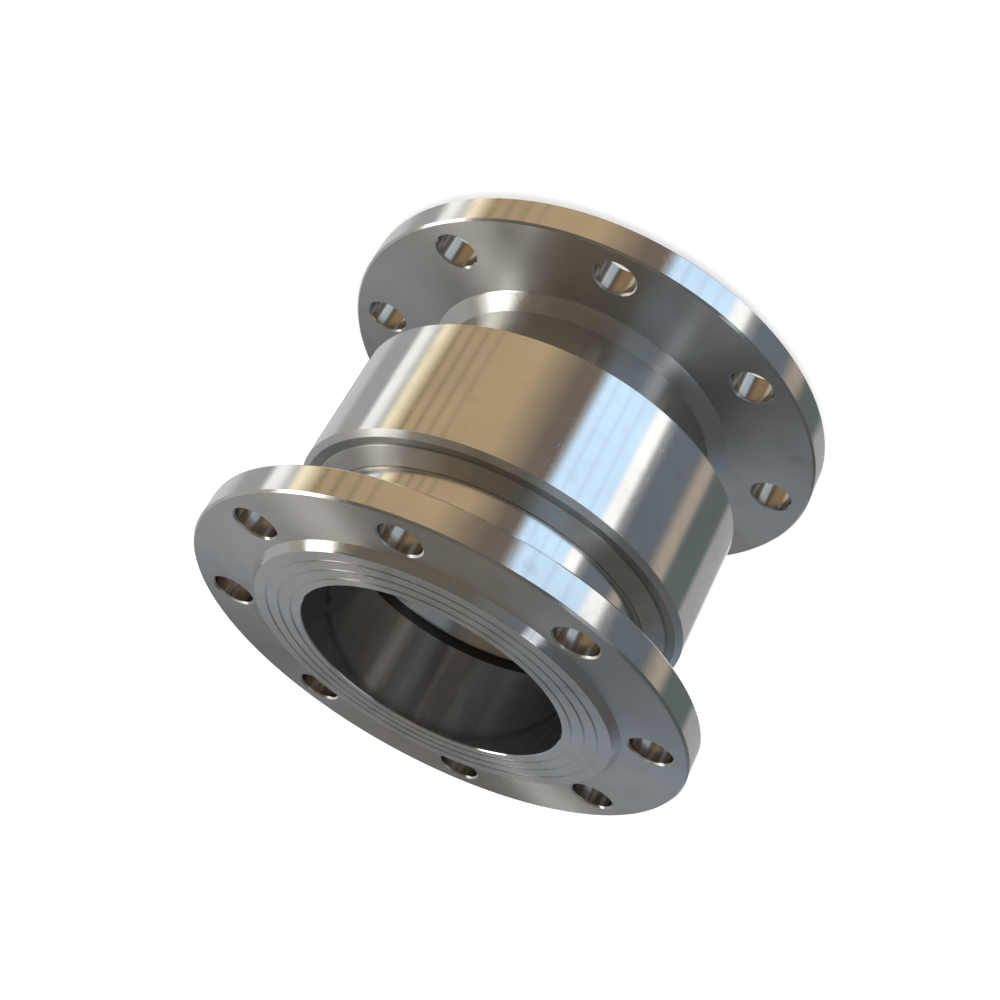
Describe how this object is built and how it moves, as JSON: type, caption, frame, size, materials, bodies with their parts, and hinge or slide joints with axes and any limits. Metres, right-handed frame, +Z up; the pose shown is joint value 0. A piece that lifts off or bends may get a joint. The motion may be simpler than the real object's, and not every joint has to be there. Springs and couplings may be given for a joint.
{
  "type": "rotary joint",
  "caption": "Flanged rotary joint for a pipeline: a rotor with a bolted flange turns in a barrel-shaped housing on ball bearings, with a straight flow bore right through.",
  "frame": {"origin": "centre of the rear flange's sealing face, on which the joint stands", "axes": "+Z up along the bore from the rear flange to the front flange; +X midway between two bolt holes of the rear flange"},
  "size_m": [0.28, 0.28, 0.2069],
  "materials": {
    "turned_steel": "turned",
    "satin_steel": "satin",
    "bearing_steel": "ground",
    "cage_brass": "turned",
    "black_rubber": "matte",
    "white_ptfe": "matte"
  },
  "bodies": {
    "housing": {"housing": "turned_steel", "end_cap": "satin_steel", "end_cap_o_ring": "black_rubber", "dust_seal": "black_rubber", "flow_sleeve": "satin_steel", "flow_sleeve_o_ring": "black_rubber", "front_outer_race": "bearing_steel", "front_bearing_upper_shield": "satin_steel", "front_bearing_lower_shield": "satin_steel", "rear_outer_race": "bearing_steel", "rear_bearing_upper_shield": "satin_steel", "rear_bearing_lower_shield": "satin_steel", "outer_spacer": "satin_steel", "seal_ring": "white_ptfe", "seal_energiser": "black_rubber"},
    "rotor": {"rotor": "turned_steel", "front_inner_race": "bearing_steel", "rear_inner_race": "bearing_steel", "inner_spacer": "satin_steel", "lock_washer": "satin_steel", "lock_nut": "satin_steel"},
    "front_cage": {"front_cage": "cage_brass", "front_balls": "bearing_steel"},
    "rear_cage": {"rear_cage": "cage_brass", "rear_balls": "bearing_steel"}
  },
  "joints": [
    {"name": "rotor_swivel", "type": "hinge", "parent": "housing", "child": "rotor", "pos_m": [0, 0, 0.1102], "axis": [0, 0, 1], "continuous": true},
    {"name": "front_cage_orbit", "type": "hinge", "parent": "housing", "child": "front_cage", "pos_m": [0, 0, 0.1212], "axis": [0, 0, 1], "continuous": true},
    {"name": "rear_cage_orbit", "type": "hinge", "parent": "housing", "child": "rear_cage", "pos_m": [0, 0, 0.0992], "axis": [0, 0, 1], "continuous": true}
  ],
  "couplings": [
    {"joint": "front_cage_orbit", "follows": "rotor_swivel", "ratio": 0.46472},
    {"joint": "rear_cage_orbit", "follows": "rotor_swivel", "ratio": 0.46472}
  ]
}
